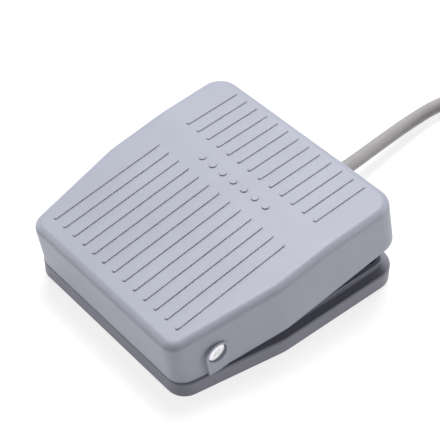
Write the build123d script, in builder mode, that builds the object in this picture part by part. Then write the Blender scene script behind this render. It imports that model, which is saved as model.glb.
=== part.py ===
"""Foot switch: a moulded base tray and a hinged pedal cover over a snap-action switch.

Millimetres, +Z up. The floor is z = 0, the toe edge is towards -Y, the cable leaves at +Y, and the
middle of the base is x = y = 0. The pedal is modelled lifted, as its springs hold it. Its own shape
is drawn in the closed pose, on a frame that is turned about the pivot by the lift angle.
"""

import math
import os

from build123d import *

os.makedirs("parts", exist_ok=True)

# Plan of the base, and of the pedal over it
front_y = -50.0
rear_y = 51.8
bend_y = -6.8
front_half = 42.4
bend_half = 49.7
rear_half = 50.5
front_corner = 7.5
rear_corner = 10.0
bend_round = 22.0

# Base tray
foot_proud = 0.6
ledge_z = 7.4
floor_t = 2.6
lip_h = 3.0
lip_t = 1.6
lip_inset = 3.8
lip_front_inset = 5.0
edge_round = 0.5

# Pedal cover, sizes in its closed pose
pedal_wall = 2.4
wall_draft = 2.0
cover_inset = 0.6
toe_overhang = 1.3
deck_z = 30.9
ridge_y = 19.0
ridge_round = 60.0
rear_deck_z = 27.8
rim_round = 3.0
closed_gap = 0.1
seam_gap = 0.25

# Pivot
pivot_y = -34.4
pivot_z = 16.8
pedal_lift = 9.6
pad_half = 5.2
pad_proud = 1.5
pad_blend = 0.05
pad_root_depth = 2.14
recess_r = 4.1
screw_seat_depth = 3.04
head_r = 3.8
head_t = 2.0
shoulder_r = 2.0
pivot_play = 0.06
boss_r = 5.6
boss_depth = 4.44
lug_gap = 0.3
lug_t = 6.0
lug_r = 5.4
thread_r = 1.4
thread_len = 7.0
thread_play = 0.02
head_play = 0.06
head_round = 0.35
drive_w = 0.6
drive_l = 3.4
drive_depth = 0.6

# Anti-slip ribs on the deck
rib_count = 13
rib_pitch = 5.87
rib_w = 1.6
rib_h = 0.5
rib_sink = 0.5
rib_round = 0.25
front_ribs = (-42.9, 7.3)
rear_ribs = (21.5, 46.8)
dot_count = 7
dot_r = 1.5
dot_y = 14.4

# Return springs
spring_x = 26.0
spring_y = 28.0
spring_r = 5.5
wire_r = 0.5
spring_turns = 6.5
cup_r = 7.8
cup_wall = 1.4
cup_h = 3.0
seat_z = 16.6
seat_r = 6.6
spigot_r = 3.8
spigot_h = 3.0
spring_gap = 0.15

# Snap-action switch
case_l = 19.8
case_w = 6.4
case_h = 10.2
case_wall = 0.8
case_front = -14.9
case_bottom = 10.0
screw_pitch = 9.5
screw_drop = 2.5
boss_wall = 0.6
m2_r = 1.1
m2_play = 0.1
m2_head_r = 2.0
m2_head_t = 1.3
bracket_t = 2.8
hinge_in = 1.9
hinge_up = 0.55
hinge_pin_r = 0.4
hinge_play = 0.05
ear_t = 0.9
ear_r = 1.2
lever_w = 3.6
lever_side_play = 0.15
lever_t = 0.4
lever_len = 16.0
lever_lift = 14.0
roller_up = 2.0
roller_r = 2.4
roller_w = 2.6
roller_pin_r = 0.7
roller_play = 0.05
presser_r = 4.0
presser_z = 25.3
plunger_from_hinge = 5.2
plunger_r = 1.0
plunger_play = 0.06
plunger_top_gap = 0.1
plunger_foot_r = 1.5
plunger_foot_t = 0.8
plunger_tail = 1.2
blade_t = 0.3
blade_w = 2.6
blade_z = 16.1
blade_hinge_y = 2.0
blade_front_y = -11.9
blade_rear_y = 2.6
contact_r = 0.6
blade_roll_r = 0.18
rivet_h = 0.25
contact_y = -11.2
contact_gap = 0.05
open_gap = 0.55
terminal_t = 0.5
terminal_w = 3.2
terminal_low = 6.0
common_y = 3.55
open_y = -5.0
closed_y = -13.75

# Cable, its clamp and its strain relief
cable_r = 3.0
cable_z = 9.4
jacket_end_y = 33.0
relief_len = 16.0
relief_root_r = 5.2
relief_tip_r = 4.3
relief_play = 0.4
relief_flange_r = 6.0
relief_flange_t = 2.0
relief_groove_w = 1.2
relief_groove_d = 0.7
relief_groove_pitch = 2.8
relief_groove_count = 4
groove_play = 0.1
notch_play = 0.15
pedal_notch_r = 6.4
saddle_y = 38.0
saddle_l = 7.0
saddle_half = 12.0
clamp_t = 2.4
clamp_l = 6.0
clamp_screw_x = 8.6
m3_r = 1.4
m3_play = 0.1
m3_head_r = 2.6
m3_head_t = 1.7
core_r = 0.9
core_ring = 1.5
core_turn_y = 26.0
core_z = 7.0
core_lane = 2.65

# Fixing holes and feet
fixing_x = 30.0
fixing_y = 0.0
fixing_r = 2.25
fixing_head_r = 4.5
fixing_boss_r = 6.5
fixing_boss_h = 2.4
foot_r = 5.0
foot_t = 1.6
foot_play = 0.1
foot_front = (32.0, -38.0)
foot_rear = (40.0, 38.0)

# Free cable: the route of its middle, from the rear of the base to the coil
coil_x = 35.0
coil_y = 170.0
coil_mid_r = 33.0
cable_route = [
    (0.0, rear_y, cable_z),
    (0.0, 71.0, cable_z),
    (-2.9, 93.0, 8.0),
    (-5.6, 114.0, 6.3),
    (-7.0, 134.0, 4.8),
    (coil_x - coil_mid_r - 2 * cable_r, 154.0, cable_r),
    (coil_x - coil_mid_r - 2 * cable_r, coil_y, cable_r),
]
coil_gap = 0.5
tie_t = 0.6
tie_w = 9.0
tie_round = 0.5
end_turn = (10.0, -210.0)
tail_steps = 5
tail_angle = 14.0
tail_pitch = 1.9
tail_start = 4.0
tail_shift = 0.2
tip_r = 0.6
tip_len = 8.0

base_z = foot_proud
floor_z = base_z + floor_t
lip_z = ledge_z + lip_h
pedal_low = ledge_z + closed_gap
wide = 70.0

pivot_frame = Location((0, pivot_y, pivot_z), (pedal_lift, 0, 0))
pedal_frame = Plane(pivot_frame * Location((0, -pivot_y, -pivot_z)))
pedal_side = Plane(pedal_frame.origin, x_dir=pedal_frame.y_dir, z_dir=pedal_frame.x_dir)


def half_width(y):
    """Half width of the plan at y."""
    if y < bend_y:
        return front_half + (bend_half - front_half) * (y - front_y) / (bend_y - front_y)
    return bend_half + (rear_half - bend_half) * (y - bend_y) / (rear_y - bend_y)


# Places along the pivot, from the plan's edge there
pivot_half = half_width(pivot_y)
screw_seat_x = pivot_half - screw_seat_depth
boss_inner_x = pivot_half - boss_depth
pad_root_x = pivot_half - pad_root_depth


def roof_z(y):
    """Height of the deck at y, in the closed pose."""
    if y < ridge_y:
        return deck_z
    return deck_z + (rear_deck_z - deck_z) * (y - ridge_y) / (rear_y - ridge_y)


def plan_outline(side_inset, front_inset=None):
    """Draw the tapered plan in the open sketch, inset from the outer face."""
    if front_inset is None:
        front_inset = side_inset
    low = front_y + front_inset
    high = rear_y - side_inset
    right = [(half_width(y) - side_inset, y) for y in (low, bend_y, high)]
    left = [(-x, y) for x, y in reversed(right)]
    front_r = front_corner - side_inset
    rear_r = rear_corner - side_inset
    radii = [front_r, bend_round, rear_r, rear_r, bend_round, front_r]
    with BuildLine() as outline:
        FilletPolyline(*right, *left, radius=radii, close=True)
    make_face(outline.edges())


def arch(centre_y, centre_z, half, down):
    """Draw a round-topped tab in the open side sketch, down units below its centre."""
    with BuildLine() as outline:
        Line((centre_y - half, centre_z), (centre_y - half, centre_z - down))
        Line((centre_y - half, centre_z - down), (centre_y + half, centre_z - down))
        Line((centre_y + half, centre_z - down), (centre_y + half, centre_z))
        ThreePointArc(
            (centre_y + half, centre_z), (centre_y, centre_z + half), (centre_y - half, centre_z)
        )
    make_face(outline.edges())


# Base tray
spring_spots = [(-spring_x, spring_y), (spring_x, spring_y)]
fixing_spots = [(-fixing_x, fixing_y), (fixing_x, fixing_y)]
foot_spots = [(sign * x, y) for x, y in (foot_front, foot_rear) for sign in (-1, 1)]
lug_x = boss_inner_x - lug_gap
case_mid_y = case_front + case_l / 2
case_top = case_bottom + case_h
switch_screw_z = case_bottom + screw_drop
switch_screw_ys = [case_mid_y - screw_pitch / 2, case_mid_y + screw_pitch / 2]

with BuildPart() as base_tray:
    with BuildSketch(Plane.XY.offset(base_z)):
        plan_outline(0)
    extrude(amount=ledge_z - base_z)
    chamfer(edges().group_by(Axis.Z)[-1], edge_round)
    fillet(edges().group_by(Axis.Z)[0], edge_round)
    with BuildSketch(Plane.XY.offset(floor_z)):
        plan_outline(lip_inset, lip_front_inset)
    extrude(amount=lip_z - floor_z)
    with BuildSketch(Plane.XY.offset(floor_z)):
        plan_outline(lip_inset + lip_t, lip_front_inset + lip_t)
    extrude(amount=lip_h + ledge_z, mode=Mode.SUBTRACT)
    # Pivot lugs
    for side in (-1, 1):
        with BuildSketch(Plane.YZ.offset(side * lug_x)):
            arch(pivot_y, pivot_z, lug_r, pivot_z - base_z - floor_t / 2)
        extrude(amount=-side * lug_t)
    # Spring cups
    with BuildSketch(Plane.XY.offset(floor_z - floor_t / 2)):
        with Locations(*spring_spots):
            Circle(cup_r)
    extrude(amount=cup_h + floor_t / 2)
    with BuildSketch(Plane.XY.offset(floor_z)):
        with Locations(*spring_spots):
            Circle(cup_r - cup_wall)
    extrude(amount=cup_h, mode=Mode.SUBTRACT)
    # Bracket that carries the switch
    with BuildSketch(Plane.YZ.offset(case_w / 2)):
        with Locations((case_mid_y, (floor_z + case_top) / 2 - 1)):
            Rectangle(case_l, case_top - floor_z)
    extrude(amount=bracket_t)
    with BuildSketch(Plane.YZ.offset(case_w / 2)):
        with Locations(*[(y, switch_screw_z) for y in switch_screw_ys]):
            Circle(m2_r + thread_play)
    extrude(amount=bracket_t, mode=Mode.SUBTRACT)
    # Saddle under the cable, and the bosses of its clamp
    with BuildSketch(Plane.XY.offset(floor_z - floor_t / 2)):
        with Locations((0, saddle_y)):
            Rectangle(2 * saddle_half, saddle_l)
    extrude(amount=cable_z - floor_z + floor_t / 2)
    with BuildSketch(Plane.XY.offset(cable_z)):
        with Locations((-clamp_screw_x, saddle_y), (clamp_screw_x, saddle_y)):
            Circle(m3_r + thread_play)
    extrude(amount=floor_z - cable_z, mode=Mode.SUBTRACT)
    with BuildSketch(Plane.XZ.offset(-saddle_y)):
        with Locations((0, cable_z)):
            Circle(cable_r + thread_play)
    extrude(amount=saddle_l, both=True, mode=Mode.SUBTRACT)
    # Notch in the rear wall for the strain relief
    notch_r = relief_root_r + notch_play
    with BuildSketch(Plane.XZ.offset(-rear_y - 1)):
        with Locations((0, cable_z)):
            Circle(notch_r)
        with Locations((0, cable_z + lip_h)):
            Rectangle(2 * notch_r, 2 * lip_h)
    extrude(amount=lip_inset + lip_t + 2, mode=Mode.SUBTRACT)
    # Fixing holes with a raised seat for the screw head
    with BuildSketch(Plane.XY.offset(floor_z - floor_t / 2)):
        with Locations(*fixing_spots):
            Circle(fixing_boss_r)
    extrude(amount=fixing_boss_h + floor_t / 2)
    with Locations(*[(x, y, floor_z + fixing_boss_h) for x, y in fixing_spots]):
        CounterBoreHole(fixing_r, fixing_head_r, fixing_boss_h)
    # Recesses under the floor for the feet
    with BuildSketch(Plane.XY.offset(base_z)):
        with Locations(*foot_spots):
            Circle(foot_r + foot_play)
    extrude(amount=foot_t - foot_proud, mode=Mode.SUBTRACT)
    # Holes in the lugs for the pivot screws
    with BuildSketch(Plane.YZ.offset(lug_x)):
        with Locations((pivot_y, pivot_z)):
            Circle(thread_r + thread_play)
    extrude(amount=-2 * lug_x, mode=Mode.SUBTRACT)


def pedal_form(inset):
    """Outer form of the pedal cover, or with an inset its hollow."""
    low = pedal_low - inset
    far = 10
    with BuildSketch(pedal_frame.offset(low)) as plan:
        plan_outline(inset + cover_inset, inset - toe_overhang)
    extrude(plan.sketch, amount=deck_z + far - low, taper=wall_draft)
    with BuildSketch(pedal_side) as profile:
        with BuildLine():
            corners = [
                (front_y - far, low - far),
                (rear_y + far, low - far),
                (rear_y + far, roof_z(rear_y + far) - inset),
                (ridge_y, deck_z - inset),
                (front_y - far, deck_z - inset),
            ]
            FilletPolyline(*corners, radius=[0, 0, 0, ridge_round, 0], close=True)
        make_face()
    extrude(profile.sketch, amount=wide, both=True, mode=Mode.INTERSECT)
    roof = faces().filter_by(lambda face: face.normal_at().Z > 0.9)
    walls = faces().filter_by(lambda face: abs(face.normal_at().Z) < 0.5)
    fillet(roof.edges() & walls.edges(), rim_round - inset)


with BuildPart() as pedal_outer:
    pedal_form(0)

with BuildPart() as pedal_hollow:
    pedal_form(pedal_wall)

# Bosses under the deck: two spring seats with spigots, and the presser over the roller
lever_hinge_y = case_front + case_l - hinge_in
lever_hinge_z = case_top + hinge_up
lift = math.radians(lever_lift)
roller_y = lever_hinge_y - lever_len * math.cos(lift) + roller_up * math.sin(lift)
roller_z = lever_hinge_z + lever_len * math.sin(lift) + roller_up * math.cos(lift)

with BuildPart() as pedal_bosses:
    with BuildSketch(pedal_frame.offset(seat_z)):
        with Locations(*spring_spots):
            Circle(seat_r)
    extrude(amount=deck_z - seat_z)
    with BuildSketch(pedal_frame.offset(seat_z - spigot_h)):
        with Locations(*spring_spots):
            Circle(spigot_r)
    extrude(amount=spigot_h)
    with BuildSketch(pedal_frame.offset(presser_z)):
        with Locations((0, roller_y)):
            Circle(presser_r)
    extrude(amount=deck_z - presser_z)
    # Round bosses inside the side walls, for the pivot screws
    for side in (-1, 1):
        with BuildSketch(pedal_side.offset(side * boss_inner_x)):
            with Locations((pivot_y, pivot_z)):
                Circle(boss_r)
        extrude(amount=side * (screw_seat_x + 1 - boss_inner_x))
    add(pedal_outer.part, mode=Mode.INTERSECT)


def pad_blank(side):
    """Plan wedge that gives a pivot pad its slightly slanted outer face."""
    pad_front = pivot_y - pad_half
    pad_rear = pivot_y + pad_half
    wall_inset = cover_inset + (pivot_z - pedal_low) * math.tan(math.radians(wall_draft))
    front_x = half_width(pad_front) - wall_inset + pad_proud
    rear_x = half_width(pad_rear) - wall_inset + pad_blend
    slope = (rear_x - front_x) / (2 * pad_half)
    with BuildSketch(pedal_frame.offset(pedal_low)) as wedge:
        with BuildLine():
            Polyline(
                (side * pad_root_x, pad_front - 1),
                (side * (front_x - slope), pad_front - 1),
                (side * (rear_x + slope), pad_rear + 1),
                (side * pad_root_x, pad_rear + 1),
                close=True,
            )
        make_face()
    extrude(wedge.sketch, amount=pivot_z + pad_half + 1 - pedal_low)


with BuildPart() as pivot_pads:
    for side in (-1, 1):
        pad_blank(side)
    with BuildSketch(pedal_side):
        arch(pivot_y, pivot_z, pad_half, pivot_z - pedal_low)
    extrude(amount=wide, both=True, mode=Mode.INTERSECT)

rear_slope = math.degrees(math.atan2(rear_deck_z - deck_z, rear_y - ridge_y))
rear_deck = Plane(pedal_frame.location * Location((0, ridge_y, deck_z), (rear_slope, 0, 0)))


def deck_ribs(plane, start, end):
    """Raise one field of anti-slip ribs, from start to end along the y of the plane under them."""
    with BuildSketch(plane) as field:
        with Locations((0, (start + end) / 2)):
            with GridLocations(rib_pitch, 1, rib_count, 1):
                SlotOverall(end - start, rib_w, rotation=90)
    extrude(field.sketch, amount=rib_sink + rib_h)


def round_tops(plane):
    """Round the upper edges of the ribs that stand on the plane."""
    tops = faces().filter_by(lambda face: face.normal_at().dot(plane.z_dir) > 0.999)
    fillet(tops.edges(), rib_round)


with BuildPart() as front_field:
    deck_ribs(pedal_frame.offset(deck_z - rib_sink), *front_ribs)
    with BuildSketch(pedal_frame.offset(deck_z - rib_sink)):
        with Locations((0, dot_y)):
            with GridLocations(rib_pitch, 1, dot_count, 1):
                Circle(dot_r)
    extrude(amount=rib_sink + rib_h)
    round_tops(pedal_frame)

with BuildPart() as rear_field:
    deck_ribs(rear_deck.offset(-rib_sink), rear_ribs[0] - ridge_y, rear_ribs[1] - ridge_y)
    round_tops(rear_deck)

with BuildPart() as pedal_cover:
    add(pedal_outer.part)
    add(pedal_hollow.part, mode=Mode.SUBTRACT)
    add(pedal_bosses.part)
    add(pivot_pads.part)
    add(front_field.part)
    add(rear_field.part)
    # Recesses for the screw heads, and the bores that turn on the screws' shoulders
    for side in (-1, 1):
        with BuildSketch(pedal_side.offset(side * screw_seat_x)):
            with Locations((pivot_y, pivot_z)):
                Circle(recess_r)
        extrude(amount=side * pedal_wall * 3, mode=Mode.SUBTRACT)
    with BuildSketch(pedal_side):
        with Locations((pivot_y, pivot_z)):
            Circle(shoulder_r + pivot_play)
    extrude(amount=wide, both=True, mode=Mode.SUBTRACT)
    # Notch that clears the strain relief as the pedal comes down
    with BuildSketch(Plane(pedal_frame.origin, x_dir=pedal_frame.x_dir, z_dir=-pedal_frame.y_dir)):
        with Locations((0, cable_z)):
            Circle(pedal_notch_r)
        with Locations((0, cable_z - pedal_notch_r)):
            Rectangle(2 * pedal_notch_r, 2 * pedal_notch_r)
    extrude(amount=-rear_y - 1, mode=Mode.SUBTRACT)
    # Lower edge trimmed level, so that the toe end rests just over the ledge
    with Locations((0, 0, ledge_z + seam_gap)):
        Box(4 * wide, 4 * wide, 2 * ledge_z, align=(Align.CENTER, Align.CENTER, Align.MAX),
            mode=Mode.SUBTRACT)


# Shoulder screws that the pedal turns on
pivot_screws = {}
for name, side in (("pivot_screw_left", -1), ("pivot_screw_right", 1)):
    with BuildPart() as pivot_screw:
        head_x = side * (screw_seat_x + head_play)
        with BuildSketch(Plane.YZ.offset(head_x)):
            with Locations((pivot_y, pivot_z)):
                Circle(head_r)
        extrude(amount=side * head_t)
        rim = edges().filter_by(GeomType.CIRCLE).sort_by(Axis.X)
        fillet(rim[-1] if side > 0 else rim[0], head_round)
        with BuildSketch(Plane.YZ.offset(head_x + side * head_t)):
            with Locations((pivot_y, pivot_z)):
                Rectangle(drive_l, drive_w, rotation=35)
                Rectangle(drive_w, drive_l, rotation=35)
        extrude(amount=-side * drive_depth, mode=Mode.SUBTRACT)
        with BuildSketch(Plane.YZ.offset(head_x)):
            with Locations((pivot_y, pivot_z)):
                Circle(shoulder_r)
        extrude(amount=side * lug_x - head_x)
        with BuildSketch(Plane.YZ.offset(side * lug_x)):
            with Locations((pivot_y, pivot_z)):
                Circle(thread_r)
        extrude(amount=-side * thread_len)
    pivot_screws[name] = pivot_screw.part

# Return springs, from the cup's floor to the lowest edge of the tilted seat
lift_rad = math.radians(pedal_lift)
seat_arm = spring_y - pivot_y
seat_lift = seat_arm * math.sin(lift_rad) + (seat_z - pivot_z) * math.cos(lift_rad)
seat_low = pivot_z + seat_lift - seat_r * math.sin(lift_rad)
spring_low = floor_z + spring_gap + wire_r
spring_high = seat_low - spring_gap - wire_r
return_springs = {}
for name, side in (("return_spring_left", -1), ("return_spring_right", 1)):
    with BuildPart() as return_spring:
        with BuildLine() as coil_line:
            rise = spring_high - spring_low
            Helix(rise / spring_turns, rise, spring_r, center=(side * spring_x, spring_y, spring_low))
        with BuildSketch(Plane(coil_line.line @ 0, z_dir=coil_line.line % 0)):
            Circle(wire_r)
        sweep(is_frenet=True)
    return_springs[name] = return_spring.part


def case_outline():
    """Draw the side view of the switch case in the open sketch."""
    with Locations((case_mid_y, case_bottom + case_h / 2)):
        RectangleRounded(case_l, case_h, case_wall / 2)


def terminal_line(strip_y, arm_z, arm_y):
    """Draw a terminal's side view: a strip that stands in the floor, and an arm at its top."""
    with BuildLine() as outline:
        step = terminal_t if arm_y > strip_y else -terminal_t
        Polyline(
            (strip_y - step / 2, terminal_low),
            (strip_y + step / 2, terminal_low),
            (strip_y + step / 2, arm_z - terminal_t),
            (arm_y, arm_z - terminal_t),
            (arm_y, arm_z),
            (strip_y - step / 2, arm_z),
            close=True,
        )
    make_face(outline.edges())


# Switch case, open on its left side, and the lid that closes it
terminal_ys = [common_y, open_y, closed_y]
plunger_y = lever_hinge_y - plunger_from_hinge
case_left = -case_w / 2 + case_wall
with BuildPart() as switch_case:
    with BuildSketch(Plane.YZ.offset(case_left)):
        case_outline()
    extrude(amount=case_w - case_wall)
    with BuildSketch(Plane.YZ.offset(case_left)):
        with Locations((case_mid_y, case_bottom + case_h / 2)):
            Rectangle(case_l - 2 * case_wall, case_h - 2 * case_wall)
    extrude(amount=case_w - 2 * case_wall, mode=Mode.SUBTRACT)
    with BuildSketch(Plane.YZ.offset(case_left)):
        with Locations(*[(y, switch_screw_z) for y in switch_screw_ys]):
            Circle(m2_r + m2_play + boss_wall)
    extrude(amount=case_w - case_wall)
    with BuildSketch(Plane.YZ.offset(case_left)):
        with Locations(*[(y, switch_screw_z) for y in switch_screw_ys]):
            Circle(m2_r + m2_play)
    extrude(amount=case_w - case_wall, mode=Mode.SUBTRACT)
    for side in (-1, 1):
        with BuildSketch(Plane.YZ.offset(side * (lever_w / 2 + lever_side_play))):
            arch(lever_hinge_y, lever_hinge_z, ear_r, hinge_up)
        extrude(amount=side * ear_t)
    with BuildSketch(Plane.YZ):
        with Locations((lever_hinge_y, lever_hinge_z)):
            Circle(hinge_pin_r + hinge_play)
    extrude(amount=case_w, both=True, mode=Mode.SUBTRACT)
    with BuildSketch(Plane.XY.offset(case_top)):
        with Locations((0, plunger_y)):
            Circle(plunger_r + plunger_play)
    extrude(amount=-2 * case_wall, mode=Mode.SUBTRACT)
    with BuildSketch(Plane.XY.offset(case_bottom)):
        with Locations(*[(0, y) for y in terminal_ys]):
            Rectangle(terminal_w + 2 * thread_play, terminal_t + 2 * thread_play)
    extrude(amount=case_wall, mode=Mode.SUBTRACT)

with BuildPart() as switch_lid:
    with BuildSketch(Plane.YZ.offset(-case_w / 2)):
        case_outline()
        with Locations(*[(y, switch_screw_z) for y in switch_screw_ys]):
            Circle(m2_r + m2_play, mode=Mode.SUBTRACT)
    extrude(amount=case_wall)

with BuildPart() as switch_screws:
    with BuildSketch(Plane.YZ.offset(-case_w / 2 - m2_head_t)):
        with Locations(*[(y, switch_screw_z) for y in switch_screw_ys]):
            Circle(m2_head_r)
    extrude(amount=m2_head_t)
    with BuildSketch(Plane.YZ.offset(-case_w / 2)):
        with Locations(*[(y, switch_screw_z) for y in switch_screw_ys]):
            Circle(m2_r)
    extrude(amount=case_w + bracket_t)

# Button of the switch, with the foot that keeps it in the case
leaf_under = lever_hinge_z + plunger_from_hinge * math.tan(lift) - lever_t / 2 / math.cos(lift)
plunger_top = leaf_under - plunger_r * math.tan(lift)
foot_top = case_top - case_wall - plunger_top_gap
with BuildPart() as switch_plunger:
    with BuildSketch(Plane.XY.offset(foot_top - plunger_foot_t - plunger_tail)):
        with Locations((0, plunger_y)):
            Circle(plunger_r)
    extrude(amount=plunger_top - foot_top + plunger_foot_t + plunger_tail)
    fillet(edges().sort_by(Axis.Z)[-1], plunger_r / 2)
    with BuildSketch(Plane.XY.offset(foot_top - plunger_foot_t)):
        with Locations((0, plunger_y)):
            Circle(plunger_foot_r)
    extrude(amount=plunger_foot_t)

# Moving contact: a blade with a rivet, hinged on the ledge of the common terminal
blade_low = blade_z - blade_t / 2
blade_high = blade_z + blade_t / 2
with BuildPart() as contact_blade:
    with BuildSketch(Plane.XY.offset(blade_low)):
        with Locations((0, (blade_front_y + blade_rear_y) / 2)):
            Rectangle(blade_w, blade_rear_y - blade_front_y)
    extrude(amount=blade_t)
    with BuildSketch(Plane.YZ):
        with Locations((blade_hinge_y, blade_z)):
            Circle(blade_roll_r)
    extrude(amount=blade_w / 2, both=True)
    with BuildSketch(Plane.XY.offset(blade_low - rivet_h)):
        with Locations((0, contact_y)):
            Circle(contact_r)
    extrude(amount=blade_t + 2 * rivet_h)

closed_arm_z = blade_high + 2 * rivet_h + contact_gap + terminal_t
open_arm_z = blade_low - 2 * rivet_h - open_gap
with BuildPart() as terminal_common:
    with BuildSketch(Plane.YZ):
        terminal_line(common_y, blade_low - contact_gap, blade_hinge_y - contact_r)
    extrude(amount=terminal_w / 2, both=True)

with BuildPart() as terminal_closed:
    with BuildSketch(Plane.YZ):
        terminal_line(closed_y, closed_arm_z, contact_y + contact_r)
    extrude(amount=terminal_w / 2, both=True)
    with BuildSketch(Plane.XY.offset(closed_arm_z - terminal_t)):
        with Locations((0, contact_y)):
            Circle(contact_r)
    extrude(amount=-rivet_h)

with BuildPart() as terminal_open:
    with BuildSketch(Plane.YZ):
        terminal_line(open_y, open_arm_z, contact_y - contact_r)
    extrude(amount=terminal_w / 2, both=True)
    with BuildSketch(Plane.XY.offset(open_arm_z)):
        with Locations((0, contact_y)):
            Circle(contact_r)
    extrude(amount=rivet_h)

# Hinged leaf, its roller, and the roller's pin
lever_frame = Plane(Location((0, lever_hinge_y, lever_hinge_z), (-lever_lift, 0, 0)))
lever_side = Plane(lever_frame.origin, x_dir=lever_frame.y_dir, z_dir=lever_frame.x_dir)
leaf_end = lever_len - roller_r - lever_t
cheek_x = roller_w / 2 + 2 * roller_play
cheek_r = roller_pin_r + lever_t
with BuildPart() as switch_lever:
    with BuildSketch(lever_frame.offset(-lever_t / 2)):
        with Locations((0, (hinge_pin_r - leaf_end) / 2)):
            Rectangle(lever_w, leaf_end + hinge_pin_r)
    extrude(amount=lever_t)
    with BuildSketch(lever_side):
        Circle(hinge_pin_r)
    extrude(amount=lever_w / 2 + lever_side_play + ear_t, both=True)
    for side in (-1, 1):
        with BuildSketch(lever_side.offset(side * cheek_x)):
            with BuildLine():
                Polyline(
                    (-leaf_end + 2 * lever_t, -lever_t / 2),
                    (-lever_len - cheek_r, -lever_t / 2),
                    (-lever_len - cheek_r, roller_up + cheek_r),
                    (-lever_len + cheek_r, roller_up + cheek_r),
                    (-leaf_end + 2 * lever_t, lever_t / 2),
                    close=True,
                )
            make_face()
            with Locations((-lever_len, roller_up)):
                Circle(roller_pin_r + thread_play, mode=Mode.SUBTRACT)
        extrude(amount=side * (lever_w / 2 - cheek_x))

with BuildPart() as roller_pin:
    with BuildSketch(lever_side):
        with Locations((-lever_len, roller_up)):
            Circle(roller_pin_r)
    extrude(amount=lever_w / 2 + thread_play, both=True)
    for side in (-1, 1):
        with BuildSketch(lever_side.offset(side * (lever_w / 2 + thread_play))):
            with Locations((-lever_len, roller_up)):
                Circle(cheek_r)
        extrude(amount=side * lever_t / 2)

with BuildPart() as lever_roller:
    with BuildSketch(lever_side):
        with Locations((-lever_len, roller_up)):
            Circle(roller_r)
            Circle(roller_pin_r + roller_play, mode=Mode.SUBTRACT)
    extrude(amount=roller_w / 2, both=True)

# Strain relief in the rear wall, drawn as a half section and turned about the cable
lip_inner_y = rear_y - lip_inset - lip_t
flange_y = lip_inner_y - groove_play
bore_r = cable_r + relief_play
with BuildPart() as strain_relief:
    with BuildSketch(Plane(origin=(0, 0, cable_z), x_dir=(0, 1, 0), z_dir=(1, 0, 0))):
        with BuildLine():
            Polyline(
                (flange_y - relief_flange_t, bore_r),
                (flange_y - relief_flange_t, relief_flange_r),
                (flange_y, relief_flange_r),
                (flange_y, relief_root_r),
                (rear_y, relief_root_r),
                (rear_y + relief_len, relief_tip_r),
                (rear_y + relief_len, bore_r),
                close=True,
            )
        make_face()
        # Grooves that let the tail bend
        for groove in range(relief_groove_count):
            groove_y = rear_y + relief_len - relief_groove_pitch * (groove + 1)
            share = (groove_y - rear_y) / relief_len
            surface_r = relief_root_r + (relief_tip_r - relief_root_r) * share
            with Locations((groove_y, surface_r)):
                Rectangle(relief_groove_w, 2 * relief_groove_d, mode=Mode.SUBTRACT)
    revolve(axis=Axis((0, 0, cable_z), (0, 1, 0)))

with BuildPart() as cable_lead_in:
    with BuildSketch(Plane.XZ.offset(-jacket_end_y)):
        with Locations((0, cable_z)):
            Circle(cable_r)
    extrude(amount=jacket_end_y - rear_y)

# Clamp bar over the cable, and its screws
clamp_low = cable_z + clamp_t / 4
clamp_spots = [(-clamp_screw_x, saddle_y), (clamp_screw_x, saddle_y)]
with BuildPart() as cord_clamp:
    with BuildSketch(Plane.XZ.offset(-saddle_y)):
        with Locations((0, clamp_low + clamp_t / 2)):
            Rectangle(2 * saddle_half, clamp_t)
        with Locations((0, cable_z)):
            Circle(cable_r + clamp_t)
        with Locations((0, clamp_low - wide / 2)):
            Rectangle(wide, wide, mode=Mode.SUBTRACT)
        with Locations((0, cable_z)):
            Circle(cable_r + thread_play, mode=Mode.SUBTRACT)
    extrude(amount=clamp_l / 2, both=True)
    with BuildSketch(Plane.XY.offset(clamp_low)):
        with Locations(*clamp_spots):
            Circle(m3_r + m3_play)
    extrude(amount=clamp_t, mode=Mode.SUBTRACT)

with BuildPart() as clamp_screws:
    with BuildSketch(Plane.XY.offset(clamp_low + clamp_t)):
        with Locations(*clamp_spots):
            Circle(m3_head_r)
    extrude(amount=m3_head_t)
    fillet(edges().group_by(Axis.Z)[-1], m3_head_t / 3)
    with BuildSketch(Plane.XY.offset(clamp_low + clamp_t)):
        with Locations(*clamp_spots):
            Circle(m3_r)
    extrude(amount=floor_z - clamp_low - clamp_t)

with BuildPart() as rubber_feet:
    with BuildSketch(Plane.XY):
        with Locations(*foot_spots):
            Circle(foot_r)
    extrude(amount=foot_t)
    fillet(edges().group_by(Axis.Z)[0], foot_proud / 2)


def swept_wire(points, radii, radius):
    """Round wire along straight runs and tangent arcs."""
    with BuildPart() as wire:
        with BuildLine() as path:
            FilletPolyline(*points, radius=radii)
        with BuildSketch(Plane(path.line @ 0, z_dir=path.line % 0)):
            Circle(radius)
        sweep()
    return wire.part


def arc_radii(points):
    """Radius of the arc at each inner point: 0.45 of the shorter run over the tangent of half the turn."""
    radii = []
    for before, here, after in zip(points, points[1:], points[2:]):
        run_in = Vector(here) - Vector(before)
        run_out = Vector(after) - Vector(here)
        half_turn = math.radians(run_in.get_angle(run_out)) / 2
        radii.append(0.45 * min(run_in.length, run_out.length) / math.tan(half_turn))
    return radii


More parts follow.
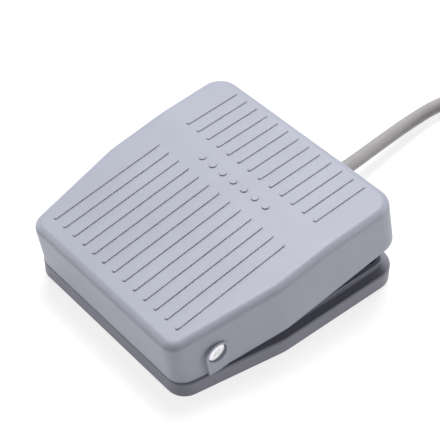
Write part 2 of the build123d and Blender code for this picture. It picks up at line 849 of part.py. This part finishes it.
# Insulated cores from the end of the jacket to the terminals
core_x = -terminal_w / 2 - core_r - hinge_play
core_starts = [
    (core_ring * math.cos(math.radians(a)), cable_z + core_ring * math.sin(math.radians(a)))
    for a in (-30, 90, 210)
]
cores = {}
for lane, (name, (start_x, start_z), end_y) in enumerate(
    zip(("core_common", "core_open", "core_closed"), core_starts, terminal_ys)
):
    lane_x = core_x - lane * core_lane
    lane_start_y = core_turn_y - (14 if lane == 0 else 10)
    core_points = [
        (start_x, jacket_end_y, start_z),
        (start_x, core_turn_y, start_z),
        (lane_x, lane_start_y, core_z),
    ]
    if lane > 0:
        core_points.append((lane_x, end_y + 3 + 2.5 * lane, core_z))
        core_points.append((core_x, end_y + 3, core_z))
    core_points.append((core_x, end_y, core_z))
    cores[name] = swept_wire(core_points, arc_radii(core_points), core_r)

# Free cable, as straight runs and tangent arcs
route_radii = arc_radii(cable_route)
with BuildPart() as cable:
    with BuildLine() as cable_path:
        FilletPolyline(*cable_route, radius=route_radii)
    with BuildSketch(Plane(cable_path.line @ 0, z_dir=cable_path.line % 0)):
        Circle(cable_r)
    sweep()
tube_length = cable_path.wire().length
tube_volume = tube_length * math.pi * cable_r**2
print("cable arc radii", [round(radius, 1) for radius in route_radii])
print("cable tube length", round(tube_length, 2))
print("cable volume", round(cable.part.volume, 1), "section x length", round(tube_volume, 1))

# The length that is put away, wound in a coil: outer shape of its turns, three wide and three high.
# The outer column of the top layer holds only the last stretch, from under the tie to the end.
pitch = 2 * cable_r
coil_outer = coil_mid_r + 1.5 * pitch
coil_inner = coil_mid_r - 1.5 * pitch
coil_top = 3 * pitch
coil_place = Location((coil_x, coil_y, 0))
end_low, end_high = sorted(end_turn)
with BuildPart() as cable_coil:
    with BuildSketch(Plane(coil_place)):
        Circle(coil_outer)
        Circle(coil_inner, mode=Mode.SUBTRACT)
    extrude(amount=2 * pitch)
    with BuildSketch(Plane(coil_place).offset(2 * pitch)):
        Circle(coil_outer - pitch)
        Circle(coil_inner, mode=Mode.SUBTRACT)
    extrude(amount=pitch)
    # Last stretch of jacket on the outer column
    with BuildSketch(Plane(coil_place).offset(2 * pitch)) as last_stretch:
        with BuildLine():
            outer_arc = CenterArc((0, 0), coil_outer, end_low, end_high - end_low)
            inner_arc = CenterArc((0, 0), coil_outer - pitch - 1, end_low, end_high - end_low)
            Line(outer_arc @ 0, inner_arc @ 0)
            Line(outer_arc @ 1, inner_arc @ 1)
        make_face()
    extrude(amount=pitch)
    # Room beside the arriving cable
    notch_x = coil_x - coil_outer + pitch + coil_gap
    with Locations((notch_x, coil_y, pitch + coil_gap)):
        Box(wide, wide, wide, align=(Align.MAX, Align.MAX, Align.MAX), mode=Mode.SUBTRACT)
    # Groove under the turns for the tie
    with Locations((coil_x + coil_mid_r, coil_y, 0)):
        Box(wide / 2, tie_w + coil_gap, 2 * (tie_t + coil_gap), mode=Mode.SUBTRACT)

with BuildPart() as coil_tie:
    tie_out = 1.5 * pitch + coil_gap + tie_t
    with BuildSketch(Plane.XZ.offset(-coil_y)):
        with Locations((coil_x + coil_mid_r, (coil_top + coil_gap + tie_t) / 2)):
            RectangleRounded(2 * tie_out, coil_top + coil_gap + tie_t, tie_round + tie_t)
            inner_size = (2 * (tie_out - tie_t), coil_top + coil_gap - tie_t)
            RectangleRounded(*inner_size, tie_round, mode=Mode.SUBTRACT)
    extrude(amount=tie_w / 2, both=True)

# Far end: three cores out of the jacket, laid on the turns below, with bare tips
end_angle = end_turn[1]
tails = {}
tip_frames = []
for lane, name in enumerate(("tail_common", "tail_open", "tail_closed")):
    face_angle = math.radians(210 - 120 * lane)
    start_r = coil_outer - cable_r + core_ring * math.cos(face_angle)
    start_z = 2.5 * pitch + core_ring * math.sin(face_angle)
    rest_z = 2 * pitch + core_r
    start_angle = math.radians(end_angle)
    start_x = coil_x + start_r * math.cos(start_angle)
    start_y = coil_y + start_r * math.sin(start_angle)
    second_x = start_x + tail_start * math.sin(start_angle)
    second_y = start_y - tail_start * math.cos(start_angle)
    tail_points = [(start_x, start_y, start_z), (second_x, second_y, start_z)]
    for step in range(1, tail_steps + 1):
        share = step / tail_steps
        angle = math.radians(end_angle - step * tail_angle)
        rest_r = coil_outer - cable_r + tail_shift + (lane - 1) * tail_pitch
        radius = start_r + (rest_r - start_r) * min(1, 2.5 * share)
        fall = min(1, 1.6 * share)
        height = start_z + (rest_z - start_z) * fall * fall * (3 - 2 * fall)
        tail_points.append(
            (coil_x + radius * math.cos(angle), coil_y + radius * math.sin(angle), height)
        )
    tails[name] = swept_wire(tail_points, arc_radii(tail_points), core_r)
    tip_run = Vector(tail_points[-1]) - Vector(tail_points[-2])
    tip_frames.append(Plane(tail_points[-1], z_dir=tip_run))

with BuildPart() as bare_tips:
    for tip_frame in tip_frames:
        with BuildSketch(tip_frame):
            Circle(tip_r)
        extrude(amount=tip_len)

base_tray.part.label = "base_tray"
export_step(base_tray.part, "parts/base_tray.step")
pedal_cover.part.label = "pedal_cover"
export_step(pedal_cover.part, "parts/pedal_cover.step")
switch_case.part.label = "switch_case"
export_step(switch_case.part, "parts/switch_case.step")
switch_lid.part.label = "switch_lid"
export_step(switch_lid.part, "parts/switch_lid.step")
switch_screws.part.label = "switch_screws"
export_step(switch_screws.part, "parts/switch_screws.step")
switch_plunger.part.label = "switch_plunger"
export_step(switch_plunger.part, "parts/switch_plunger.step")
switch_lever.part.label = "switch_lever"
export_step(switch_lever.part, "parts/switch_lever.step")
roller_pin.part.label = "roller_pin"
export_step(roller_pin.part, "parts/roller_pin.step")
lever_roller.part.label = "lever_roller"
export_step(lever_roller.part, "parts/lever_roller.step")
contact_blade.part.label = "contact_blade"
export_step(contact_blade.part, "parts/contact_blade.step")
terminal_common.part.label = "terminal_common"
export_step(terminal_common.part, "parts/terminal_common.step")
terminal_closed.part.label = "terminal_closed"
export_step(terminal_closed.part, "parts/terminal_closed.step")
terminal_open.part.label = "terminal_open"
export_step(terminal_open.part, "parts/terminal_open.step")
strain_relief.part.label = "strain_relief"
export_step(strain_relief.part, "parts/strain_relief.step")
cable_lead_in.part.label = "cable_lead_in"
export_step(cable_lead_in.part, "parts/cable_lead_in.step")
cord_clamp.part.label = "cord_clamp"
export_step(cord_clamp.part, "parts/cord_clamp.step")
clamp_screws.part.label = "clamp_screws"
export_step(clamp_screws.part, "parts/clamp_screws.step")
rubber_feet.part.label = "rubber_feet"
export_step(rubber_feet.part, "parts/rubber_feet.step")
cable.part.label = "cable"
export_step(cable.part, "parts/cable.step")
cable_coil.part.label = "cable_coil"
export_step(cable_coil.part, "parts/cable_coil.step")
coil_tie.part.label = "coil_tie"
export_step(coil_tie.part, "parts/coil_tie.step")
bare_tips.part.label = "bare_tips"
export_step(bare_tips.part, "parts/bare_tips.step")

for group in (pivot_screws, return_springs, cores, tails):
    for name, piece in group.items():
        piece.label = name
        export_step(piece, f"parts/{name}.step")
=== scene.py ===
"""Foot switch on a pale floor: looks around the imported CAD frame."""

import math

import bpy
from mathutils import Matrix, Vector


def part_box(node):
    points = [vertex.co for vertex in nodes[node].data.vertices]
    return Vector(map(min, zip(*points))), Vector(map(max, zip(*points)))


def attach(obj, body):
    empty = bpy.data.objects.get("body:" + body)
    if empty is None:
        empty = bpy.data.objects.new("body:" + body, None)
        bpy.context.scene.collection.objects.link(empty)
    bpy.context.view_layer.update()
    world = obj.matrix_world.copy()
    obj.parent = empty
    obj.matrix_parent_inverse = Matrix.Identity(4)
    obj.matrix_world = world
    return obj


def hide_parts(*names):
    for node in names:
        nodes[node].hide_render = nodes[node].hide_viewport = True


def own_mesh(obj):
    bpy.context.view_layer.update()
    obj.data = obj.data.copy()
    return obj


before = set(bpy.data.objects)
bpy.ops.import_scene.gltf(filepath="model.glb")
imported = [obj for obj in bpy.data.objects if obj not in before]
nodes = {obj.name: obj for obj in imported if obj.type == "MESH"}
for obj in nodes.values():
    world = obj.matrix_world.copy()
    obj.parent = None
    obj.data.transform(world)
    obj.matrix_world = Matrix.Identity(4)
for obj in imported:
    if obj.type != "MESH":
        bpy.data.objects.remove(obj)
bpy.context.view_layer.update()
MM = 0.001

# Camera, fitted to the photograph's edges
PHOTO_PX = 440
FOCAL_PX = 1327.152
SENSOR_MM = 36.0
AZIMUTH = math.radians(49.342)
ELEVATION = math.radians(44.417)
ROLL = math.radians(0.018)
DISTANCE = 0.509433
SHIFT_RIGHT = 0.003662
SHIFT_UP = 0.018228
FOOT_PROUD = 0.0006


def make_camera():
    """Camera with the photograph's view angle, distance and framing."""
    back = Vector(
        (
            math.sin(AZIMUTH) * math.cos(ELEVATION),
            -math.cos(AZIMUTH) * math.cos(ELEVATION),
            math.sin(ELEVATION),
        )
    )
    right = Vector((math.cos(AZIMUTH), math.sin(AZIMUTH), 0))
    up = back.cross(right)
    eye = back * DISTANCE + right * SHIFT_RIGHT + up * SHIFT_UP
    eye.z += FOOT_PROUD
    camera_data = bpy.data.cameras.new("camera")
    camera_data.sensor_width = SENSOR_MM
    camera_data.lens = FOCAL_PX / PHOTO_PX * SENSOR_MM
    camera_data.clip_start = 0.01
    camera = bpy.data.objects.new("camera", camera_data)
    bpy.context.scene.collection.objects.link(camera)
    turn = Matrix((right, up, back)).transposed().to_4x4()
    camera.matrix_world = Matrix.Translation(eye) @ turn @ Matrix.Rotation(ROLL, 4, "Z")
    bpy.context.scene.camera = camera


# Materials: pattern scales per metre, bump depths in metres
FLOW_SCALE = 35.0
FLOW_DEPTH = 0.00008
SPECK_SCALE = 700.0
SCRATCH_SCALE = 3500.0
SCRATCH_DEPTH = 0.00001
BLOTCH_SCALE = 260.0


class Nodes:
    """Short names for building a node tree."""

    def __init__(self, name):
        self.material = bpy.data.materials.new(name)
        self.material.use_nodes = True
        self.tree = self.material.node_tree
        self.shader = self.tree.nodes["Principled BSDF"]
        self.coords = self.tree.nodes.new("ShaderNodeTexCoord")

    def add(self, kind, inputs=None, **settings):
        """New node, with its settings and its input values or links."""
        node = self.tree.nodes.new(kind)
        for key, value in settings.items():
            setattr(node, key, value)
        for key, value in (inputs or {}).items():
            self.put(node.inputs[key], value)
        return node

    def put(self, socket, value):
        """Set a socket to a value, or link it to another node's output."""
        if isinstance(value, bpy.types.NodeSocket):
            self.tree.links.new(value, socket)
        else:
            socket.default_value = value

    def set(self, **values):
        """Set the main shader's inputs by name, with _ for a space."""
        for key, value in values.items():
            self.put(self.shader.inputs[key.replace("_", " ")], value)

    def noise(self, scale, detail=2.0, rough=0.5, vector=None):
        """Noise pattern of the given scale per metre."""
        inputs = {"Scale": scale, "Detail": detail, "Roughness": rough}
        inputs["Vector"] = vector or self.coords.outputs["Object"]
        return self.add("ShaderNodeTexNoise", inputs).outputs["Fac"]

    def ramp(self, factor, low, high, low_at=0.3, high_at=0.7):
        """Colour ramp from low to high."""
        node = self.add("ShaderNodeValToRGB", {"Fac": factor})
        node.color_ramp.elements[0].position = low_at
        node.color_ramp.elements[0].color = low
        node.color_ramp.elements[1].position = high_at
        node.color_ramp.elements[1].color = high
        return node.outputs["Color"]

    def span(self, factor, low, high):
        """Map 0 to 1 onto low to high."""
        inputs = {"Value": factor, "To Min": low, "To Max": high}
        return self.add("ShaderNodeMapRange", inputs).outputs["Result"]

    def bump(self, height, distance, strength=1.0, normal=None):
        """Bump of the given height in metres."""
        inputs = {"Height": height, "Distance": distance, "Strength": strength}
        if normal:
            inputs["Normal"] = normal
        return self.add("ShaderNodeBump", inputs).outputs["Normal"]


def shade(colour, factor):
    """Colour times a factor, with alpha 1."""
    return tuple(channel * factor for channel in colour) + (1.0,)


def moulded(name, colour, rough=0.5, grain=2600.0, grain_depth=0.00003, vary=0.04):
    """Moulded plastic or rubber: spark-eroded grain, faint flow marks and uneven sheen."""
    m = Nodes(name)
    flow = m.noise(FLOW_SCALE, 3.0, 0.55)
    fine = m.noise(grain, 3.0, 0.6)
    specks = m.noise(SPECK_SCALE)
    m.set(Base_Color=m.ramp(flow, shade(colour, 1 - vary), shade(colour, 1 + vary)))
    m.set(Roughness=m.span(specks, rough - 0.06, rough + 0.06))
    low = m.bump(flow, FLOW_DEPTH, 0.4)
    m.set(Normal=m.bump(fine, grain_depth, 0.7, low))
    m.set(IOR=1.5)
    return m.material


def metal(name, colour, rough=0.28, brush=(1.0, 1.0, 1.0), vary=0.06):
    """Plated or drawn metal: fine scratches, uneven polish and slight tarnish."""
    m = Nodes(name)
    stretched = m.add(
        "ShaderNodeMapping", {"Vector": m.coords.outputs["Object"], "Scale": brush}
    ).outputs["Vector"]
    lines = m.noise(SCRATCH_SCALE, 4.0, 0.65, stretched)
    blotch = m.noise(BLOTCH_SCALE, 3.0, 0.6)
    m.set(Base_Color=m.ramp(blotch, shade(colour, 1 - vary), shade(colour, 1 + vary)))
    m.set(Roughness=m.span(lines, rough - 0.08, rough + 0.14))
    m.set(Normal=m.bump(lines, SCRATCH_DEPTH, 0.5))
    m.set(Metallic=1.0)
    return m.material


def dress(material, *names):
    """Give the material to CAD nodes."""
    for name in names:
        mesh = nodes[name].data
        mesh.materials.clear()
        mesh.materials.append(material)


cover_plastic = moulded("cover_plastic", (0.40, 0.415, 0.50), 0.46)
base_plastic = moulded("base_plastic", (0.22, 0.22, 0.275), 0.50)
steel = metal("steel", (0.92, 0.92, 0.94), 0.24)
spring_wire = metal("spring_wire", (0.62, 0.62, 0.63), 0.30, (1.0, 1.0, 0.1))
brass = metal("brass", (0.80, 0.60, 0.30), 0.30)
copper = metal("copper", (0.70, 0.37, 0.23), 0.34, (1.0, 0.1, 1.0))
switch_black = moulded("switch_black", (0.028, 0.028, 0.030), 0.42)
button_red = moulded("button_red", (0.34, 0.035, 0.028), 0.38)
roller_white = moulded("roller_white", (0.66, 0.64, 0.58), 0.42)
relief_rubber = moulded("relief_rubber", (0.30, 0.295, 0.31), 0.60, 1800.0)
jacket = moulded("jacket", (0.37, 0.352, 0.365), 0.48, 1500.0, 0.00002, 0.05)
core_brown = moulded("core_brown", (0.11, 0.042, 0.018), 0.40)
core_black = moulded("core_black", (0.018, 0.018, 0.019), 0.40)
core_blue = moulded("core_blue", (0.022, 0.075, 0.26), 0.40)
foot_rubber = moulded("foot_rubber", (0.035, 0.035, 0.036), 0.75, 1400.0, 0.00005)
tie_black = moulded("tie_black", (0.03, 0.03, 0.032), 0.45)

dress(cover_plastic, "pedal_cover")
dress(base_plastic, "base_tray", "cord_clamp")
dress(steel, "pivot_screw_left", "pivot_screw_right", "switch_screws", "clamp_screws")
dress(steel, "switch_lever", "roller_pin")
dress(switch_black, "switch_case", "switch_lid")
dress(button_red, "switch_plunger")
dress(roller_white, "lever_roller")
dress(brass, "terminal_common", "terminal_closed", "terminal_open")
dress(copper, "contact_blade", "bare_tips")
dress(relief_rubber, "strain_relief")
dress(jacket, "cable_lead_in")
dress(core_brown, "core_common", "tail_common")
dress(core_black, "core_open", "tail_open")
dress(core_blue, "core_closed", "tail_closed")
dress(foot_rubber, "rubber_feet")


# Cord, in millimetres: the free stretch, then its turns in the coil, on one smooth spline. CELLS_MM are
# the radius and the height of each turn, in the order in which the cable fills the coil's section.
CABLE_R = 3.0
ROUTE_MM = [
    (0.0, 51.8, 9.4),
    (0.0, 71.0, 9.4),
    (-2.9, 93.0, 8.0),
    (-5.6, 114.0, 6.3),
    (-7.0, 134.0, 4.8),
    (-4.0, 154.0, 3.0),
]
COIL_CENTRE_MM = (35.0, 170.0)
CELLS_MM = [
    (39, 3),
    (39, 9),
    (33, 9),
    (33, 3),
    (27, 3),
    (27, 9),
    (27, 15),
    (33, 15),
    (39, 15),
]
PASS_DEG = 340
SHIFT_DEG = 50
STEP_DEG = 20
LAST_TURN_DEG = 190
END_DEG = (len(CELLS_MM) - 1) * PASS_DEG + LAST_TURN_DEG
TIE_DEG = 180
TIE_LIFT_MM = 0.7
TIE_LIFT_DEG = 18.0


def ease(t):
    """Smooth step from 0 to 1."""
    t = min(1.0, max(0.0, t))
    return t * t * (3 - 2 * t)


def coil_point(travel):
    """Point of the coil after so many degrees from its west side, clockwise from above."""
    turn = min(int(travel // PASS_DEG), len(CELLS_MM) - 1)
    into = travel - turn * PASS_DEG
    here = CELLS_MM[turn]
    after = CELLS_MM[min(turn + 1, len(CELLS_MM) - 1)]
    share = ease((into - (PASS_DEG - SHIFT_DEG)) / SHIFT_DEG)
    radius = here[0] + (after[0] - here[0]) * share
    height = here[1] + (after[1] - here[1]) * share
    off_tie = (travel % 360) - TIE_DEG
    height += TIE_LIFT_MM * math.exp(-((off_tie / TIE_LIFT_DEG) ** 2))
    radius /= math.cos(math.radians(STEP_DEG / 2))
    angle = math.radians(180 - travel)
    return (
        COIL_CENTRE_MM[0] + radius * math.cos(angle),
        COIL_CENTRE_MM[1] + radius * math.sin(angle),
        height,
    )


def cord_curve():
    """The whole free cord as one spline."""
    points = list(ROUTE_MM)
    points += [coil_point(travel) for travel in range(0, END_DEG, STEP_DEG)]
    points.append(coil_point(END_DEG))
    data = bpy.data.curves.new("cord", "CURVE")
    data.dimensions = "3D"
    spline = data.splines.new("NURBS")
    spline.points.add(len(points) - 1)
    for target, point in zip(spline.points, points):
        target.co = (point[0] * MM, point[1] * MM, point[2] * MM, 1.0)
    spline.order_u = 3
    spline.use_endpoint_u = True
    data.resolution_u = 6
    data.bevel_depth = CABLE_R * MM
    data.bevel_resolution = 7
    data.use_fill_caps = True
    data.materials.append(jacket)
    cord = bpy.data.objects.new("cord", data)
    bpy.context.scene.collection.objects.link(cord)
    return cord


def mesh_object(name, vertices, faces, material):
    """New mesh object, smooth, from points in millimetres."""
    mesh = bpy.data.meshes.new(name)
    mesh.from_pydata([tuple(c * MM for c in v) for v in vertices], [], faces)
    mesh.update()
    mesh.shade_smooth()
    mesh.materials.append(material)
    piece = bpy.data.objects.new(name, mesh)
    bpy.context.scene.collection.objects.link(piece)
    return piece


TIE_W_MM = 9.0
TIE_T_MM = 0.6
TIE_GAP_MM = 0.05
TIE_SECTION_MM = [(27, 3), (39, 3), (39, 9), (38.2, 15), (27, 15)]
CORNER_STEPS = 6
BEAD_PEAK_MM = 0.3
BEAD_END_MM = 0.8
BAND_LEVEL = 0.75


def tie_section(offset):
    """Closed line at an offset from the turns' centres, in the coil's section at the tie."""
    centres = TIE_SECTION_MM
    line = []
    for i, here in enumerate(centres):
        before, after = centres[i - 1], centres[(i + 1) % len(centres)]
        angles = []
        for start, end in ((before, here), (here, after)):
            angles.append(math.atan2(-(end[0] - start[0]), end[1] - start[1]))
        first = math.degrees(angles[0])
        turn = (math.degrees(angles[1]) - first) % 360
        for k in range(CORNER_STEPS + 1):
            a = math.radians(first + turn * k / CORNER_STEPS)
            height = here[1] + TIE_LIFT_MM + offset * math.sin(a)
            line.append((here[0] + offset * math.cos(a), height))
    return line


def make_tie():
    """Flat band round the coil's turns, with a bead along its edges."""
    inner = tie_section(CABLE_R + TIE_GAP_MM)
    outer = tie_section(CABLE_R + TIE_GAP_MM + TIE_T_MM)
    half = TIE_W_MM / 2
    edge = [
        (0.0, half),
        (BAND_LEVEL, half),
        (1.0, half - BEAD_PEAK_MM),
        (BAND_LEVEL, half - BEAD_END_MM),
    ]
    profile = [(t, -y) for t, y in edge] + edge[::-1]
    vertices, faces = [], []
    count = len(inner)
    for near, far in zip(inner, outer):
        for t, y in profile:
            r = near[0] + (far[0] - near[0]) * t
            z = near[1] + (far[1] - near[1]) * t
            vertices.append((COIL_CENTRE_MM[0] + r, COIL_CENTRE_MM[1] + y, z))
    width = len(profile)
    for i in range(count):
        for k in range(width):
            a, b = i * width + k, i * width + (k + 1) % width
            c, d = ((i + 1) % count) * width + (k + 1) % width, ((i + 1) % count) * width + k
            faces.append((a, b, c, d))
    return mesh_object("tie_band", vertices, faces, tie_black)


WIRE_R = 0.0005
SPRING_R = 0.0055
SPRING_TURNS = 7.5
TURN_STEPS = 28
CLOSED_TURN = 0.9


def make_spring(side):
    """Compression spring with a closed turn at each end."""
    low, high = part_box(f"return_spring_{side}")
    centre = (low + high) / 2
    data = bpy.data.curves.new(f"spring_{side}", "CURVE")
    data.dimensions = "3D"
    spline = data.splines.new("NURBS")
    count = int(TURN_STEPS * SPRING_TURNS)
    spline.points.add(count)
    rise = high.z - low.z - 2 * WIRE_R
    closed_rise = 2 * WIRE_R / rise
    for i, point in enumerate(spline.points):
        turn = i / TURN_STEPS
        open_share = (turn - CLOSED_TURN) / (SPRING_TURNS - 2 * CLOSED_TURN)
        z = closed_rise * min(turn, CLOSED_TURN) / CLOSED_TURN
        z += min(1, max(0, open_share)) * (1 - 2 * closed_rise)
        z += closed_rise * max(0, turn - SPRING_TURNS + CLOSED_TURN) / CLOSED_TURN
        angle = 2 * math.pi * turn
        point.co = (
            centre.x + SPRING_R * math.cos(angle),
            centre.y + SPRING_R * math.sin(angle),
            low.z + WIRE_R + z * rise,
            1.0,
        )
    spline.order_u = 3
    spline.use_endpoint_u = True
    data.resolution_u = 2
    data.bevel_depth = WIRE_R
    data.bevel_resolution = 3
    data.use_fill_caps = True
    curve = bpy.data.objects.new(f"spring_{side}_curve", data)
    bpy.context.scene.collection.objects.link(curve)
    bpy.context.view_layer.update()
    evaluated = curve.evaluated_get(bpy.context.evaluated_depsgraph_get())
    mesh = bpy.data.meshes.new_from_object(evaluated)
    bpy.data.objects.remove(curve)
    mesh.name = f"spring_{side}"
    mesh.shade_smooth()
    mesh.materials.clear()
    mesh.materials.append(spring_wire)
    spring = bpy.data.objects.new(f"spring_{side}", mesh)
    bpy.context.scene.collection.objects.link(spring)
    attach(spring, "base")
    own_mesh(spring)
    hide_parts(f"return_spring_{side}")


cord = cord_curve()
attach(cord, "base")
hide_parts("cable", "cable_coil")

tie = make_tie()
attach(tie, "base")
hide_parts("coil_tie")

make_spring("left")
make_spring("right")


# Floor, world and lamps: sizes in metres, power in watts
FLOOR_SIZE = 6.0
FLOOR_ALBEDO = 0.35
FLOOR_GLOW = 0.78
FLOOR_LIGHT = 0.50
# Painted light and shade on the floor: its camera-seen glow is FLOOR_GLOW within the first distance
# from the object and rises to white at the second, standing in for lamp light that doesn't reach so far
FLOOR_PAINTED_GLOW_REACH = (0.35, 0.90)
WORLD_LEVEL = 0.08


def seen_ray(tree):
    """1 for rays from the camera and for its reflections and refractions, else 0."""
    path = tree.nodes.new("ShaderNodeLightPath")
    total = path.outputs["Is Camera Ray"]
    for kind in ("Is Glossy Ray", "Is Transmission Ray"):
        either = tree.nodes.new("ShaderNodeMath")
        either.operation = "MAXIMUM"
        tree.links.new(total, either.inputs[0])
        tree.links.new(path.outputs[kind], either.inputs[1])
        total = either.outputs["Value"]
    return total


def make_floor():
    """Light table whose camera-seen glow is painted: dimmer near the object, so it keeps a faint shadow
    there, and white far off.
    """
    mesh = bpy.data.meshes.new("floor")
    half = FLOOR_SIZE / 2
    corners = [(-half, -half, 0), (half, -half, 0), (half, half, 0), (-half, half, 0)]
    mesh.from_pydata(corners, [], [(0, 1, 2, 3)])
    m = Nodes("floor")
    m.set(Base_Color=(FLOOR_ALBEDO, FLOOR_ALBEDO, FLOOR_ALBEDO, 1), Roughness=0.9)
    m.set(Emission_Color=(1, 1, 1, 1))
    # Painted light: the glow seen by the camera and in reflections grows with distance from the object,
    # so the floor is painted darker near it and white far off
    place = {0: m.coords.outputs["Object"]}
    reach = m.add("ShaderNodeVectorMath", place, operation="LENGTH").outputs["Value"]
    near, far = FLOOR_PAINTED_GLOW_REACH
    inputs = {"Value": reach, "From Min": near, "From Max": far}
    inputs.update({"To Min": FLOOR_GLOW, "To Max": 1.0})
    painted_glow = m.add("ShaderNodeMapRange", inputs).outputs["Result"]
    m.set(Emission_Strength=m.span(seen_ray(m.tree), FLOOR_LIGHT, painted_glow))
    mesh.materials.append(m.material)
    floor = bpy.data.objects.new("floor", mesh)
    bpy.context.scene.collection.objects.link(floor)


def make_world():
    """Dim soft surroundings, white where the camera or a reflection sees them."""
    world = bpy.data.worlds.new("world")
    world.use_nodes = True
    tree = world.node_tree
    background = tree.nodes["Background"]
    background.inputs["Color"].default_value = (1, 1, 1, 1)
    strength = tree.nodes.new("ShaderNodeMapRange")
    strength.inputs["To Min"].default_value = WORLD_LEVEL
    strength.inputs["To Max"].default_value = 1.0
    tree.links.new(seen_ray(tree), strength.inputs["Value"])
    tree.links.new(strength.outputs["Result"], background.inputs["Strength"])
    bpy.context.scene.world = world


def make_lamp(name, azimuth, elevation, distance, size, power):
    """Soft rectangular lamp that points at the object, with its angles in degrees."""
    data = bpy.data.lights.new(name, "AREA")
    data.shape = "RECTANGLE"
    data.size, data.size_y = size
    data.energy = power
    lamp = bpy.data.objects.new(name, data)
    a, e = math.radians(azimuth), math.radians(elevation)
    away = Vector((math.sin(a) * math.cos(e), -math.cos(a) * math.cos(e), math.sin(e)))
    lamp.location = away * distance
    lamp.rotation_euler = away.to_track_quat("Z", "Y").to_euler()
    bpy.context.scene.collection.objects.link(lamp)


make_camera()
make_floor()
make_world()
make_lamp("lamp_top", 225, 68, 1.3, (0.6, 0.6), 16.5)
make_lamp("lamp_left", -55, 12, 1.2, (0.8, 0.5), 3.9)
make_lamp("lamp_right", 135, 12, 1.2, (0.8, 0.5), 3.4)

bpy.context.scene.view_settings.view_transform = "Standard"
